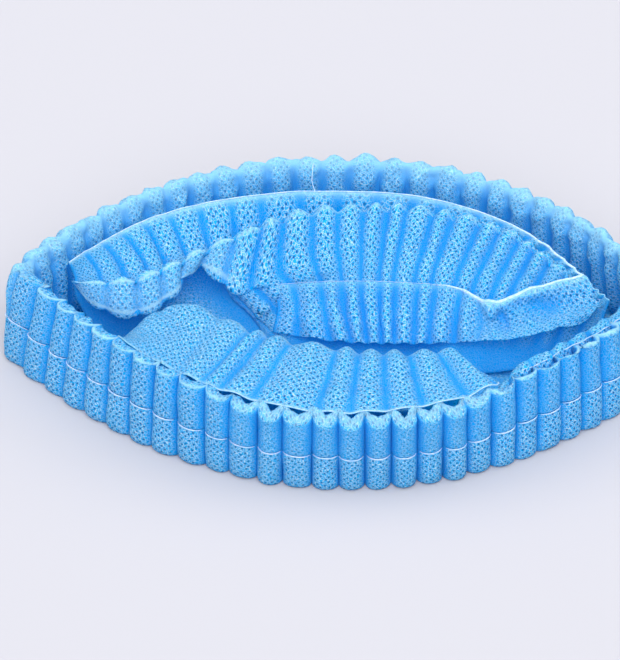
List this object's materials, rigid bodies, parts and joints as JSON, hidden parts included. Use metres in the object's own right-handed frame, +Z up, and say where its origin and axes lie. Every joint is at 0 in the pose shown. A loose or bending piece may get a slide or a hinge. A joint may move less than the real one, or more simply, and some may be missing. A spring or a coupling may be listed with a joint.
{
  "type": "disposable pleated mob cap",
  "caption": "Pleated nonwoven mob cap, pulled part open into a lens shape and laid down with its elasticated opening upwards.",
  "frame": {"origin": "on the surface that the cap rests on, under the middle of its crown", "axes": "+X along the lens from its left tip to its right tip, +Y from its front to its back, +Z up through the opening"},
  "size_m": [0.2076, 0.14, 0.0367],
  "materials": {
    "nonwoven": "pale blue spunbond nonwoven with a pattern of small bonded dots",
    "elastic": "matt white elastic strand"
  },
  "bodies": {
    "root": {"outer_wall": "nonwoven", "crown_base": "nonwoven", "centre_fold": "nonwoven", "front_fold": "nonwoven", "front_hem_panel": "nonwoven", "back_elastic": "elastic", "front_elastic": "elastic"}
  },
  "joints": []
}
